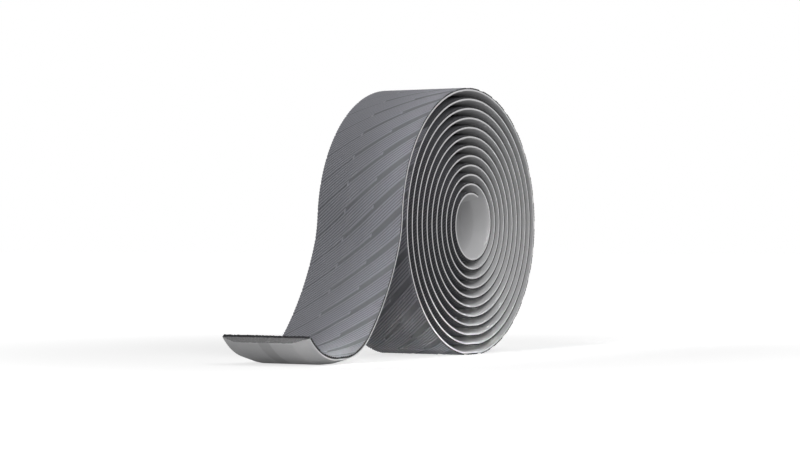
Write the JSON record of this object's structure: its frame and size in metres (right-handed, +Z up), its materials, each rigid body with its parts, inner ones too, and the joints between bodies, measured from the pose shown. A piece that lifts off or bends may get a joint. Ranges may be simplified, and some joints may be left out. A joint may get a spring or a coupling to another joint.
{
  "type": "handlebar tape roll",
  "caption": "Cushioned handlebar tape with a slantwise ribbed cover and bevelled foam backing, wound in a roll with a loose tail that hangs to the surface.",
  "frame": {"origin": "on the surface under the axle, in the middle of the roll's flat spot and of the tape's width", "axes": "+Z up, +Y along the roll's axle, tail towards -X"},
  "size_m": [0.1469, 0.032, 0.0898],
  "materials": {
    "cover": "matt grey polyurethane with fine slanting ribs and smooth bands",
    "backing": "pale grey closed-cell foam with bevelled edges"
  },
  "bodies": {
    "root": {"tape": "cover"}
  },
  "joints": []
}
